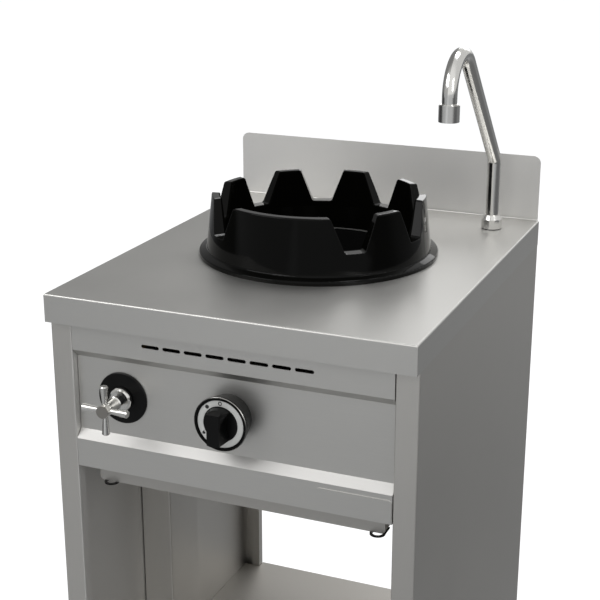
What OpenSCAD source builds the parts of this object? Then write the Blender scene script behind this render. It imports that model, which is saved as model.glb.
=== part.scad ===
// Free-standing wok range: a stainless steel stand with one gas burner under a
// cast wok ring, a swivel tap, a drip tray and an open lower shelf.
// Modules are drawn from the worktop's front edge: x from the middle of the width,
// y back from the front edge, z up from the worktop's top. place() then moves each
// piece so that the origin is on the floor, under the middle of the whole range.

/* [Worktop] */
// Height of the worktop above the floor
top_h = 850; // [820:5:900]
// Width of the worktop
top_w = 500; // [480:5:600]
// Depth of the worktop, front edge to back
top_d = 600; // [580:5:700]
// Depth of the folded edge round the worktop
top_edge = 38; // [34:1:42]
// Sheet thickness of the worktop
top_t = 1.5; // [1.2:0.1:2]
// Outer radius of the worktop's folds
top_fold = 2.5; // [2:0.5:4]
// Width of the return under the worktop's edge
top_return = 16; // [12:1:17]
// Height of the splashback above the worktop
splash_h = 100; // [60:5:150]
// How far the splashback stops short of each side
splash_inset = 2.2; // [1:0.2:6]
// Radius of the splashback's top corners
splash_corner = 11; // [5:1:20]

/* [Stand] */
// Sheet thickness of the panels
sheet_t = 1.2; // [1:0.1:1.5]
// Outer radius of the folds in the panels
sheet_fold = 2; // [1.8:0.1:2.5]
// How far the posts stand back from the worktop's front edge
post_set = 13; // [12:1:16]
// Width of a post's face
post_w = 30; // [28:1:36]
// Depth of a post
post_d = 15; // [14:1:18]
// Width of the lip folded inward on a post
post_lip = 14; // [10:1:18]
// Width of the flange at the top of a side panel
side_flange = 40; // [38:1:46]
// Height of the side panels' bottom edge above the floor
side_clear = 120; // [110:5:140]
// Height of the shelf's top above the floor
shelf_h = 160; // [155:5:175]
// Width and depth of the plate over each leg
gusset = 60; // [56:1:70]
// Size of a vent slot, end to end
slot_l = 25; // [20:1:27]
// Height of a vent slot
slot_w = 4.8; // [4:0.2:6]
// Distance between vent slots
slot_pitch = 30; // [28:1:32]
// Number of vent slots
slot_count = 8; // [4:1:10]

/* [Control panel] */
// Depth from the worktop's top to the foot of the upper strip
strip_low = 76; // [74:1:80]
// How far the control face is set back
recess = 11; // [8:1:14]
// Height of the recessed control face with its two slopes
recess_h = 124.5; // [120:0.5:130]
// Height of the lip below the recess
lip_h = 39; // [36:1:44]
// Gap between the panel's end and the post
panel_gap = 0.6; // [0.5:0.1:2]
// Length of the blank plate on the lip
plate_l = 97; // [80:1:110]
// Height of the blank plate
plate_h = 31; // [25:1:34]
// Thickness of the blank plate
plate_t = 1; // [0.8:0.1:1.5]

/* [Wok ring] */
// Distance of the burner's centre from the worktop's back edge
burner_back = 281.5; // [275:0.5:295]
// Outer radius of the ring's wall at the top
ring_top_r = 149.5; // [147:0.5:152]
// How far the wall spreads from its top to its foot
ring_taper = 8.5; // [6:0.5:11]
// Width of the flange outside the wall's foot
ring_flange_w = 10.5; // [8:0.5:13]
// Thickness of the ring's wall
ring_wall = 12; // [10:0.5:14]
// Height of the ring's teeth
ring_h = 85; // [75:1:95]
// Height of the bottom of the notches
notch_z = 38; // [34:1:46]
// Width of a notch at its bottom
notch_low_w = 28; // [24:1:32]
// Width of a notch at the ring's top
notch_top_w = 64; // [58:1:68]
// Number of places for a notch, one of which is left whole at the front
ring_places = 9; // [8:1:10]

/* [Burner] */
// How far the opening in the worktop ends inside the top of the ring's wall
well_inset = 21.5; // [18:0.5:28]
// Depth of the burner well
well_depth = 92; // [84:1:96]
// Radius of the opening in the bottom of the well
well_low_r = 70; // [66:0.5:74]
// Radius of the burner head
head_r = 52; // [48:0.5:54]
// Thickness of the burner cap
cap_t = 12; // [10:0.5:14]
// Radius of the mixing tube
mixer_r = 16; // [14:0.5:18]
// Number of holes in the outer ring of flame ports
port_count = 24; // [12:2:30]

/* [Controls] */
// Radius of the knob's bezel
bezel_r = 36; // [33.5:0.5:37]
// Height of the bezel
bezel_h = 30; // [28:0.5:33]
// Radius of the knob's disc
knob_r = 22.8; // [21:0.2:24]
// Distance from the control face to the knob's front
knob_stand = 50.5; // [49:0.5:53]
// Width of the knob's grip at its waist
grip_w = 17; // [14:0.5:18]
// How far the knob pushes in
knob_push = 3; // [2:0.5:3.5]
// Radius of the water valve's black escutcheon
rose_r = 35; // [33:0.5:37]
// Distance from the left side of the range to the water valve
water_in = 96.5; // [92:0.5:102]
// Distance from the control face to the cross handle's front
handle_stand = 54; // [54:0.5:58]
// Radius over the ends of the cross handle
handle_r = 33; // [30:0.5:35]

/* [Tap] */
// Distance from the right side of the range to the tap
tap_in = 57; // [53:1:62]
// Distance of the tap from the worktop's back edge
tap_back = 67; // [62:1:75]
// Radius of the spout's tube
spout_r = 10; // [9:0.5:11]
// Height of the bend above the worktop
spout_bend_h = 105; // [102:1:120]
// Length of the sloping tube
spout_slope_l = 232; // [210:1:250]
// Radius of the gooseneck along the tube's middle
spout_neck_r = 48; // [40:1:55]
// Height of the outlet above the worktop
outlet_h = 203; // [180:1:215]
// Radius of the aerator
aerator_r = 13.8; // [13:0.2:15]

/* [Drip tray] */
// Distance from a side of the range to the tray's box
tray_in = 47.5; // [45:0.5:55]
// Depth of the tray's box below its rim
tray_h = 27; // [24:1:32]
// Distance of the tray's front from the worktop's front edge
tray_y = 38.5; // [37:0.5:44]
// Distance of the tray's back from the worktop's back edge
tray_back = 41.5; // [40:0.5:80]
// Outer radius of the ring pulls
pull_r = 10; // [8:0.5:12]

/* [Legs] */
// Radius of a leg's sleeve
sleeve_r = 22; // [21:0.5:24]
// Length of a leg's sleeve
sleeve_l = 70; // [65:1:74]
// Radius of the adjustable foot's tube
foot_r = 19; // [17:0.5:20]
// How far a foot can be screwed out
foot_travel = 35; // [25:1:38]

/* [Hidden] */

// Facets of round shapes
$fn = 96;
fine = 48;
hex = 6;
// Overrun of every cut
cut = 1;
// Clearance of a part that turns or slides inside another
fit_gap = 0.08;
// Clearance between pieces that stand apart
clear = 0.5;
near = 0.25;

steel = [0.60, 0.60, 0.58];
polished = [0.86, 0.87, 0.88];
enamel = [0.05, 0.05, 0.05];
iron = [0.20, 0.20, 0.21];
brass = [0.78, 0.62, 0.32];
plastic = [0.08, 0.08, 0.08];

half_w = top_w / 2;
burner_y = top_d - burner_back;
water_x = half_w - water_in;
tap_x = half_w - tap_in;
tap_y = top_d - tap_back;
tray_w = top_w - 2 * tray_in;
tray_l = top_d - tray_y - tray_back;
skin_x = half_w - sheet_t;
face_y = post_set + recess;
front_reach = max(handle_stand, knob_stand) - face_y;
side_low = top_h - side_clear;
shelf_z = top_h - shelf_h;
strip_foot = strip_low + recess;
recess_low = strip_low + recess_h - recess;
panel_low = strip_low + recess_h + lip_h;
control_z = (strip_foot + recess_low) / 2 - 1.2 * sheet_t;
post_back = post_set + post_d;
inner_post = half_w - post_w;
panel_x = inner_post - panel_gap;
fold_slope = sheet_t * tan(22.5);

// Rails and the flange that they rest on
rail_seat = top_edge;
rail_y = post_back + sheet_t;
rail_depth = 2 * post_d;
rail_x = half_w - top_return - clear;
rail_top = top_t;
back_rail_y = top_d - post_d - rail_depth - sheet_t;

// Legs
leg_in = gusset / 2;
leg_flange_r = sleeve_r + 5 * sheet_t;
leg_flange_t = 2.5 * sheet_t;
foot_pad_r = sleeve_r + sheet_t;
foot_pad_h = 8;
sleeve_wall = sleeve_r - foot_r;

// Pipes
pipe_r = 7.5;
pipe_bend = 18;
thread_r = 10.48;
thread_l = 18;
union_r = 13;
union_l = 14;
pipe_x = half_w - 16;
gas_y = 245;
water_y = 275;
gas_lane_z = control_z + 43;
pipe_end = side_low + thread_l + 2;

// Duct
duct_w = 49.5;
duct_front = 224;
duct_back = 313;
duct_top = panel_low + tray_h + pipe_bend;
duct_gap = 1.5;
duct_tab = post_d;

// Gas valve
valve_w = 20;
valve_front = 35;
valve_back = 80;
valve_boss_r = 14;
valve_outlet_r = 9;
valve_outlet_y = valve_back + 8;
valve_inlet_r = 11;
valve_inlet_y = 62;
spindle_r = 4;
spindle_in = 24;
pilot_z = 10;
pilot_y = 70;
couple_y = 48;

// Injector and mixer
injector_y = 118;
injector_r = 8;
holder_t = 3;
bell_y = injector_y + holder_t + 10;
bell_r = mixer_r + 6;
bell_l = 22;
feed_r = 5;
bracket_z = control_z + 33;
bracket_w = 44;
neck_r = 22;
chamber_z = 62;
chamber_low = 96;

// Tray and runners
tray_gap = 1.5;
tray_top = panel_low + tray_gap;
tray_flange = 12;
tray_x = tray_w / 2;
runner_z = tray_top + sheet_t;
runner_in = half_w - tray_x - tray_flange / 2;
runner_y = tray_y + 6;
tray_corner = 5;

// Tap
nut_r = 15.5;
nut_h = 13;
nut_cone_h = 7;
nut_neck_r = 12;
nut_sides = 12;
shank_r = 10.4;
shank_l = 46;
seal_t = 1;
nut_top = seal_t + nut_h + nut_cone_h;
spigot_r = 7;
spigot_l = 14;
mitre_r = 13;
weld_in = 0.25;
weld_step = 0.02;
aerator_l = 23;
slope = 45;
half_turn = 180;
quarter_turn = 90;

// Wok ring
ring_foot_r = ring_top_r + ring_taper;
ring_flange_r = ring_foot_r + ring_flange_w;
well_r = ring_top_r - well_inset;
lip_rise = 6;
lip_round = 2;
ring_fall = 20;
ring_round = 2.5;
tooth_round = 2;
notch_round = 4.5;
tooth_corner = 4.5;
tooth_brim = 20;
tooth_steps = 6;
ring_in_r = well_r + sheet_t;
foot_chamfer = 7;
ring_place_turn = 360 / ring_places;

// Moves a piece from the worktop's frame to the frame of the whole range
module place() {
    translate([0, (front_reach - top_d) / 2, top_h]) children();
}

// Box between two corners
module bar(x0, x1, y0, y1, z0, z1) {
    translate([x0, y0, z0]) cube([x1 - x0, y1 - y0, z1 - z0]);
}

// Draws the children at left and right
module both_sides() {
    children();
    mirror([1, 0, 0]) children();
}

// Control axis: local z points out of the control face at the user
module on_panel(x) {
    translate([x, face_y, -control_z]) rotate([90, 0, 0]) children();
}

// Waste outside a rounded corner at the origin, its metal along +x and +y
module corner_waste(r) {
    difference() {
        translate([-cut, -cut]) square(r + cut);
        translate([r, r]) circle(r, $fn = fine);
    }
}

// Slot outline with round ends, along x
module slot_shape(l, w) {
    square([l - w, w], center = true);
    for (s = [-1, 1]) translate([s * (l - w) / 2, 0]) circle(w / 2, $fn = fine);
}

// Rectangle with round corners, from the origin
module round_rect(w, h, r) {
    translate([r, 0]) square([w - 2 * r, h]);
    translate([0, r]) square([w, h - 2 * r]);
    for (x = [r, w - r], y = [r, h - r]) translate([x, y]) circle(r, $fn = fine);
}

// Straight tube between two points
module rod(a, b, r) {
    d = b - a;
    translate(a)
        rotate([0, acos(d[2] / norm(d)), atan2(d[1], d[0])])
            cylinder(r = r, h = norm(d), $fn = fine);
}

// Turn that carries x to p and y to q, as three angles
function turn(p, q, w) =
    abs(p[2]) > 0.999
        ? [atan2(-p[2] * q[0], q[1]), -90 * p[2], 0]
        : [atan2(q[2], w[2]), -asin(p[2]), atan2(p[1], p[0])];

// Quarter bend at corner p, coming in along u and leaving along v
module quarter_bend(p, u, v, r, bend) {
    translate(p + bend * (v - u))
        rotate(turn(-v, u, cross(-v, u)))
            rotate_extrude(angle = 90, $fn = $fn)
                translate([bend, 0]) circle(r, $fn = fine);
}

function way(a, b) = (b - a) / norm(b - a);

// Pipe through points that turn square at every corner
module square_pipe(p, r, bend) {
    last = len(p) - 1;
    for (i = [0 : last - 1]) {
        d = way(p[i], p[i + 1]);
        rod(p[i] + (i == 0 ? 0 : bend) * d, p[i + 1] - (i == last - 1 ? 0 : bend) * d, r);
    }
    for (i = [1 : last - 1])
        quarter_bend(p[i], way(p[i - 1], p[i]), way(p[i], p[i + 1]), r, bend);
}

// Hexagonal nut or head along z
module hexagon(r, h) {
    cylinder(r = r, h = h, $fn = hex);
}

// Bolt along z: head under z = 0, shank up, nut on top of what it holds
module bolt(r, grip) {
    head = 1.3 * r;
    translate([0, 0, -head]) hexagon(1.8 * r, head);
    cylinder(r = r, h = grip + head, $fn = fine);
    translate([0, 0, grip]) hexagon(1.8 * r, head);
}

worktop_bolt_r = 3;
rail_bolt_r = 3;
leg_bolt_r = 2.5;
worktop_bolt_x = half_w - top_return / 2;
rail_bolt_x = rail_x - 2 * rail_bolt_r - 2 * sheet_t;
function worktop_bolt_ys() = [top_d / 6, top_d / 2 - 4 * pipe_r, top_d * 5 / 6];
function rail_bolt_ys() = [rail_y + rail_depth / 2, back_rail_y + rail_depth / 2];

// Outline of the worktop's edges, seen from the front
module top_section(inset, r) {
    w = half_w - inset;
    translate([-w, -top_edge]) square([2 * w, top_edge - inset - r]);
    translate([r - w, -top_edge]) square([2 * (w - r), top_edge - inset]);
    for (s = [-1, 1]) translate([s * (w - r), -inset - r]) circle(r, $fn = fine);
}

// Block with the worktop's outer form, or its inner form at an inset
module top_block(inset, r) {
    intersection() {
        translate([0, top_d - inset, 0]) rotate([90, 0, 0])
            linear_extrude(top_d - 2 * inset) top_section(inset, r);
        difference() {
            bar(-half_w, half_w, 0, top_d, -top_edge, 0);
            translate([-half_w - cut, inset, -inset]) rotate([90, 0, 90])
                linear_extrude(top_w + 2 * cut) mirror([0, 1]) corner_waste(r);
        }
    }
}

module worktop() color(steel) place() difference() {
    union() {
        difference() {
            top_block(0, top_fold);
            difference() {
                translate([0, 0, -cut]) top_block_below();
                bar(-half_w, half_w, 0, top_d, -top_edge - 2 * cut, -top_edge);
            }
        }
        splash();
        returns();
    }
    translate([0, burner_y, -top_edge]) cylinder(r = well_r, h = 2 * top_edge);
    translate([tap_x, tap_y, -top_edge]) cylinder(r = shank_r + clear, h = 2 * top_edge, $fn = fine);
    for (x = [-worktop_bolt_x, worktop_bolt_x], y = worktop_bolt_ys())
        translate([x, y, -top_edge - cut]) cylinder(r = worktop_bolt_r, h = top_t + 2 * cut, $fn = fine);
}

// Hollow under the worktop, open below
module top_block_below() {
    r = top_fold - top_t;
    translate([0, 0, cut]) top_block(top_t, r);
    bar(top_t - half_w, half_w - top_t, top_t, top_d - top_t, -top_edge, cut - top_t - top_fold);
}

// Sheet turned up behind the worktop, with the small bend at its foot
module splash() {
    w = top_w - 2 * splash_inset;
    translate([-w / 2, top_d, -top_t]) rotate([90, 0, 0]) linear_extrude(top_t) {
        square([w, splash_h + top_t - splash_corner]);
        translate([splash_corner, 0]) square([w - 2 * splash_corner, splash_h + top_t]);
        for (x = [splash_corner, w - splash_corner])
            translate([x, splash_h + top_t - splash_corner]) circle(splash_corner, $fn = fine);
    }
    translate([-w / 2, top_d - top_t, 0]) rotate([90, 0, 90]) linear_extrude(w) difference() {
        translate([-top_fold, -top_t / 2]) square([top_fold + top_t / 2, top_fold + top_t / 2]);
        translate([-top_fold, top_fold]) circle(top_fold, $fn = fine);
    }
}

// Narrow returns folded in under the worktop's edge
module returns() {
    front_return = post_set - 2 * clear - top_t / 2;
    low = -top_edge;
    high = low + top_t;
    bar(top_t - half_w, half_w - top_t, top_t / 2, front_return, low, high);
    bar(top_t - half_w, half_w - top_t, top_d - post_d, top_d - top_t / 2, low, high);
    both_sides() bar(top_t / 2 - half_w, top_return - half_w, top_t / 2, top_d - top_t, low, high);
}

// Folded section of the left side panel, seen from above
module side_section() {
    difference() {
        union() {
            translate([-half_w, post_set]) square([sheet_t, top_d - post_set]);
            post_section();
            translate([0, top_d + post_set]) mirror([0, 1]) post_section();
        }
        translate([-half_w, post_set]) corner_waste(sheet_fold);
        translate([-half_w, top_d]) mirror([0, 1]) corner_waste(sheet_fold);
        translate([-inner_post, post_set]) mirror([1, 0]) corner_waste(sheet_fold);
        translate([-inner_post, top_d]) rotate(180) corner_waste(sheet_fold);
    }
}

// C-shaped post at the front of the left side panel
module post_section() {
    translate([-half_w, post_set]) square([post_w, sheet_t]);
    translate([-inner_post - sheet_t, post_set]) square([sheet_t, post_d]);
    translate([-inner_post - post_lip, post_back - sheet_t]) square([post_lip, sheet_t]);
}

// Left side panel: skin, two posts, top flange and the plates over the legs
module side_panel() difference() {
    union() {
        translate([0, 0, -side_low]) linear_extrude(side_low - top_edge) side_section();
        bar(-half_w + sheet_t / 2, side_flange - half_w, rail_y - clear, top_d - post_d - clear,
            -top_edge - sheet_t, -top_edge);
        for (y = [post_set + sheet_t / 2, top_d - gusset])
            bar(-half_w + sheet_t / 2, gusset - half_w, y, y + gusset - sheet_t / 2,
                -side_low, sheet_t - side_low);
    }
    for (y = worktop_bolt_ys()) translate([-worktop_bolt_x, y, -top_edge - sheet_t - cut])
        cylinder(r = worktop_bolt_r, h = sheet_t + 2 * cut, $fn = fine);
    for (y = rail_bolt_ys()) translate([-rail_bolt_x, y, -top_edge - sheet_t - cut])
        cylinder(r = rail_bolt_r, h = sheet_t + 2 * cut, $fn = fine);
    leg_bolt_holes(1, sheet_t);
}

// Places of the legs: side is -1 or 1, and y is their distance back
function leg_ys() = [post_set + leg_in, top_d - leg_in];

// Bolt holes through the plates over the legs
module leg_bolt_holes(side, t) {
    for (y = leg_ys(), s = [-1, 1])
        translate([side * (leg_in - half_w) + s * leg_bolt_reach, y, -side_low - leg_flange_t - cut])
            cylinder(r = leg_bolt_r, h = t + leg_flange_t + 2 * cut, $fn = fine);
}

leg_bolt_reach = foot_r - 3 * leg_bolt_r;

module side_panel_left() color(steel) place() side_panel();

module side_panel_right() color(steel) place() mirror([1, 0, 0]) side_panel();

// Face of the control panel, seen from its end; grow moves the line inward
module panel_line(grow) {
    k = grow * tan(22.5);
    polygon([
        [post_set + grow, -top_edge + 2 * sheet_t],
        [post_set + grow, -strip_low + k],
        [face_y + grow, -strip_foot + k],
        [face_y + grow, -recess_low - k],
        [post_set + grow, -strip_low - recess_h - k],
        [post_set + grow, -panel_low + grow],
        [face_y + 2 * recess, -panel_low + grow],
        [face_y + 2 * recess, -top_edge + 2 * sheet_t]
    ]);
}

module panel_solid(w, grow) {
    translate([-w / 2, 0, 0]) rotate([90, 0, 90]) linear_extrude(w) panel_line(grow);
}

panel_return = post_back + post_d;
panel_under = tray_y - 3 * clear;

module control_panel() color(steel) place() difference() {
    union() {
        difference() {
            panel_solid(2 * panel_x, 0);
            panel_solid(2 * (panel_x - sheet_t), sheet_t);
            bar(-panel_x - cut, panel_x + cut, post_back, top_d / 2, -panel_low + sheet_t, 0);
            bar(-panel_x - cut, panel_x + cut, panel_under, top_d / 2, -panel_low - cut, 0);
        }
        bar(-panel_x, panel_x, post_set + sheet_t / 2, panel_return,
            sheet_t - top_edge, 2 * sheet_t - top_edge);
    }
    for (i = [0 : slot_count - 1])
        translate([(i - (slot_count - 1) / 2) * slot_pitch, post_back, -(strip_low + top_edge) / 2])
            rotate([90, 0, 0]) linear_extrude(2 * post_d) slot_shape(slot_l, slot_w);
    on_panel(0) translate([0, 0, -recess]) cylinder(r = collar_r + clear, h = 2 * recess, $fn = fine);
    on_panel(-water_x) translate([0, 0, -recess]) cylinder(r = rose_hole_r, h = 2 * recess, $fn = fine);
    for (x = panel_bolt_xs()) translate([x, panel_bolt_y, -top_edge])
        cylinder(r = rail_bolt_r, h = top_edge / 2, $fn = fine);
}

function panel_bolt_xs() = [-inner_post * 2 / 3, inner_post * 2 / 3];
panel_bolt_y = rail_y + (panel_return - rail_y) / 2;

// Blank plate on the lip
module name_plate() color(polished) place()
    translate([panel_x - plate_l - plate_t, post_set, -panel_low + plate_t])
        rotate([90, 0, 0]) linear_extrude(plate_t) round_rect(plate_l, plate_h, 4 * plate_t);

// Vented upper back, its sides folded forward along the rear posts
module back_panel() color(steel) place() difference() {
    low = -duct_top;
    union() {
        bar(-inner_post, inner_post, top_d - sheet_t, top_d, low, -top_edge - sheet_t);
        both_sides() bar(-inner_post, sheet_t - inner_post, top_d - post_d, top_d, low, -top_edge - sheet_t);
        bar(-inner_post, inner_post, top_d - post_d, top_d, low, low + sheet_t);
    }
    for (row = [0 : 2], i = [0 : slot_count - 1])
        translate([(i - (slot_count - 1) / 2) * slot_pitch, top_d + cut,
                   -control_z + (row - 1) * 4 * slot_w])
            rotate([90, 0, 0]) linear_extrude(2 * sheet_t + cut) slot_shape(slot_l, slot_w);
}

// Rail between the side panels' flanges, holding up the worktop; its seat flange is at
// the open side, and turned is 1 for the front rail and -1 for the back one
module rail(y, turned) difference() {
    web = turned > 0 ? y + rail_depth - sheet_t : y;
    ledge = turned > 0 ? y + rail_depth / 2 : y;
    union() {
        bar(-rail_x, rail_x, y, y + rail_depth, -top_edge, sheet_t - top_edge);
        bar(-rail_x, rail_x, web, web + sheet_t, -top_edge, -top_t);
        bar(-rail_x, rail_x, ledge, ledge + rail_depth / 2, -top_t - sheet_t, -top_t);
    }
    for (x = [-rail_bolt_x, rail_bolt_x]) translate([x, y + rail_depth / 2, -top_edge - cut])
        cylinder(r = rail_bolt_r, h = sheet_t + 2 * cut, $fn = fine);
    if (turned > 0) for (x = panel_bolt_xs()) translate([x, panel_bolt_y, -top_edge - cut])
        cylinder(r = rail_bolt_r, h = sheet_t + 2 * cut, $fn = fine);
}

module front_rail() color(steel) place() rail(rail_y, 1);

module rear_rail() color(steel) place() rail(back_rail_y, -1);

// Shelf pan, notched round the four posts
module lower_shelf() color(steel) place() {
    apron = side_clear - shelf_h;
    low = -side_low + sheet_t + near;
    edge = skin_x - near;
    corner_x = inner_post - clear;
    corner_y = post_back + clear;
    difference() {
        union() {
            bar(-edge, edge, corner_y, top_d - post_d - clear, low, -shelf_z);
            bar(-corner_x, corner_x, post_set, top_d, low, -shelf_z);
        }
        bar(sheet_t - edge, edge - sheet_t, corner_y + sheet_t, top_d - post_d - clear - sheet_t,
            low - cut, -shelf_z - sheet_t);
        bar(sheet_t - corner_x, corner_x - sheet_t, post_set + sheet_t, top_d - sheet_t,
            low - cut, -shelf_z - sheet_t);
        for (y = [gas_y, water_y]) translate([-pipe_x, y, -side_low])
            cylinder(r = pipe_r + 2 * clear, h = 2 * shelf_h, $fn = fine);
    }
}

// Channel that hides the supply pipes, with a narrow gap at its front left edge
module pipe_duct() color(steel) place() {
    out = half_w - duct_w;
    high = -duct_top;
    translate([0, 0, -shelf_z]) linear_extrude(shelf_z - duct_top) difference() {
        union() {
            translate([duct_gap - skin_x, duct_front]) square([skin_x - duct_gap - out, sheet_t]);
            translate([-out - sheet_t, duct_front]) square([sheet_t, duct_back - duct_front]);
            translate([-skin_x, duct_back - sheet_t]) square([skin_x - out, sheet_t]);
            translate([-skin_x, duct_back - sheet_t]) square([sheet_t, duct_tab]);
        }
        translate([-out, duct_front]) mirror([1, 0]) corner_waste(sheet_fold);
        translate([-out, duct_back]) rotate(180) corner_waste(sheet_fold);
    }
}

// Angle that the tray's rim slides on, for the left side
module tray_runner() difference() {
    back = tray_y + tray_l;
    union() {
        bar(-skin_x, sheet_t - skin_x, runner_y, back, -runner_z - sheet_t, -runner_z + tray_h);
        bar(-skin_x, runner_in - half_w, runner_y, back, -runner_z - sheet_t, -runner_z);
    }
    bar(-pipe_x - pipe_r - clear, -pipe_x + pipe_r + 2 * clear, gas_y - pipe_r - 2 * clear,
        water_y + pipe_r + 2 * clear, -runner_z - sheet_t - cut, -runner_z + cut);
}

module tray_runner_left() color(steel) place() tray_runner();

module tray_runner_right() color(steel) place() mirror([1, 0, 0]) tray_runner();

module worktop_bolts() color(polished) place()
    for (x = [-worktop_bolt_x, worktop_bolt_x], y = worktop_bolt_ys())
        translate([x, y, -top_edge - sheet_t]) bolt(worktop_bolt_r, sheet_t + top_t);

module rail_bolts() color(polished) place()
    for (x = [-rail_bolt_x, rail_bolt_x], y = rail_bolt_ys())
        translate([x, y, -top_edge - sheet_t]) bolt(rail_bolt_r, 2 * sheet_t);

module panel_bolts() color(polished) place()
    for (x = panel_bolt_xs())
        translate([x, panel_bolt_y, -top_edge]) bolt(rail_bolt_r, 2 * sheet_t);

// Tube that a foot screws into, with its flange against the plate above
module leg_sleeves() color(polished) place()
    for (side = [-1, 1], y = leg_ys()) difference() {
        translate([side * (half_w - leg_in), y, -side_low]) difference() {
            union() {
                translate([0, 0, -sleeve_l]) cylinder(r = sleeve_r, h = sleeve_l);
                translate([0, 0, -leg_flange_t]) cylinder(r = leg_flange_r, h = leg_flange_t);
            }
            translate([0, 0, -sleeve_l - cut])
                cylinder(r = foot_r + fit_gap, h = sleeve_l + cut - 3 * leg_flange_t);
        }
        for (s = [-1, 1])
            translate([side * (half_w - leg_in) + s * leg_bolt_reach, y, -side_low - leg_bolt_l])
                cylinder(r = leg_bolt_r, h = leg_bolt_l + cut, $fn = fine);
    }

leg_bolt_l = 2 * leg_flange_t;

// Cap screws through the plates into the tops of the sleeves
module leg_bolts() color(polished) place()
    for (side = [-1, 1], y = leg_ys(), s = [-1, 1])
        translate([side * (half_w - leg_in) + s * leg_bolt_reach, y, -side_low]) {
            translate([0, 0, -leg_bolt_l]) cylinder(r = leg_bolt_r, h = leg_bolt_l + sheet_t, $fn = fine);
            translate([0, 0, sheet_t]) hexagon(1.8 * leg_bolt_r, leg_bolt_r);
        }

// Adjustable foot: tube, pad and its rounded edge
module foot(side, y) {
    high = side_low + 3 * leg_flange_t + near;
    color(polished) place() translate([side * (half_w - leg_in), y, -top_h]) {
        cylinder(r = foot_r, h = top_h - high);
        rotate_extrude() {
            square([foot_pad_r, foot_pad_h * 3 / 4]);
            square([foot_pad_r - foot_pad_h / 4, foot_pad_h]);
            translate([foot_pad_r - foot_pad_h / 4, foot_pad_h * 3 / 4]) circle(foot_pad_h / 4, $fn = fine);
        }
    }
}

module foot_front_left() foot(-1, leg_ys()[0]);

module foot_front_right() foot(1, leg_ys()[0]);

module foot_back_left() foot(-1, leg_ys()[1]);

module foot_back_right() foot(1, leg_ys()[1]);

stud_r = 2.5;
well_flange = 20;
stud_ring_r = well_r + well_flange / 2;

// Cone under the opening that leads spills down to the tray
module burner_well() color(enamel) place() translate([0, burner_y, -top_t]) difference() {
    rotate_extrude() polygon([
        [well_r - sheet_t, 0], [well_r + well_flange, 0], [well_r + well_flange, -sheet_t],
        [well_r, -sheet_t], [well_low_r + sheet_t, -well_depth],
        [well_low_r, -well_depth], [well_r - sheet_t, -sheet_t]
    ]);
    for (a = [45 : 90 : 315]) rotate(a) translate([stud_ring_r, 0, -2 * sheet_t])
        cylinder(r = stud_r, h = 3 * sheet_t, $fn = fine);
}

// Welded studs with their nuts, under the worktop
module well_nuts() color(polished) place() translate([0, burner_y, -top_t])
    for (a = [45 : 90 : 315]) rotate(a) translate([stud_ring_r, 0, 0]) {
        translate([0, 0, -sheet_t - 2 * stud_r]) cylinder(r = stud_r, h = sheet_t + 2 * stud_r, $fn = fine);
        translate([0, 0, -sheet_t - 1.6 * stud_r]) hexagon(1.8 * stud_r, 1.6 * stud_r);
    }

// Channel from side to side that carries the burner
module burner_bracket() color(steel) place() difference() {
    y0 = burner_y - bracket_w / 2;
    union() {
        bar(-skin_x, skin_x, y0, y0 + bracket_w, -bracket_z - sheet_t, -bracket_z);
        for (y = [y0, y0 + bracket_w - sheet_t])
            bar(-skin_x, skin_x, y, y + sheet_t, -bracket_z - bracket_w / 2, -bracket_z);
        both_sides() bar(-skin_x, sheet_t - skin_x, y0, y0 + bracket_w,
                         -bracket_z - bracket_w / 2, -bracket_z);
    }
    for (s = [-1, 1]) translate([s * foot_bolt_x, burner_y, -bracket_z - sheet_t - cut])
        cylinder(r = rail_bolt_r, h = sheet_t + 2 * cut, $fn = fine);
}

foot_bolt_x = neck_r + 3 * rail_bolt_r;
burner_foot_t = 6;

module bracket_bolts() color(polished) place() for (s = [-1, 1])
    translate([s * foot_bolt_x, burner_y, -bracket_z - sheet_t])
        bolt(rail_bolt_r, sheet_t + burner_foot_t);

// Cast burner: foot, neck, gas chamber and the mixing tube with its bell
module burner_body() color(iron) place() difference() {
    union() {
        translate([0, burner_y, 0]) {
            translate([0, 0, -bracket_z]) linear_extrude(burner_foot_t)
                slot_shape(2 * (foot_bolt_x + 3 * rail_bolt_r), 6 * rail_bolt_r + neck_r / 2);
            translate([0, 0, -bracket_z]) cylinder(r = neck_r, h = bracket_z - chamber_low);
            translate([0, 0, -chamber_low]) cylinder(r1 = neck_r, r2 = head_r, h = cone_h);
            translate([0, 0, -chamber_z - head_rim]) cylinder(r = head_r, h = head_rim);
        }
        translate([0, bell_y, -control_z]) rotate([-90, 0, 0]) {
            cylinder(r = mixer_r, h = burner_y - bell_y);
            cylinder(r1 = bell_r, r2 = mixer_r, h = bell_l);
        }
        both_sides() bar(bell_r - 2 * holder_t, bell_r, injector_y, bell_y + bell_l / 2,
                         -control_z - holder_t, -control_z + holder_t);
        translate([0, injector_y, -control_z]) rotate([-90, 0, 0]) cylinder(r = bell_r, h = holder_t);
    }
    translate([0, burner_y, -chamber_low]) {
        cylinder(r1 = neck_r - holder_t, r2 = head_r - 2 * holder_t, h = cone_h);
        translate([0, 0, cone_h - near]) cylinder(r = head_r - 2 * holder_t, h = 2 * head_rim);
    }
    translate([0, burner_y, -control_z]) cylinder(r = neck_r - holder_t, h = control_z - chamber_low + near);
    translate([0, bell_y - cut, -control_z]) rotate([-90, 0, 0])
        cylinder(r = mixer_r - holder_t, h = burner_y - bell_y);
    translate([0, injector_y - cut, -control_z]) rotate([-90, 0, 0])
        cylinder(r = feed_r, h = holder_t + 2 * cut, $fn = fine);
    for (s = [-1, 1]) translate([s * foot_bolt_x, burner_y, -bracket_z - cut])
        cylinder(r = rail_bolt_r, h = burner_foot_t + 2 * cut, $fn = fine);
}

head_rim = 8;
cone_h = chamber_low - chamber_z - head_rim;

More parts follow.
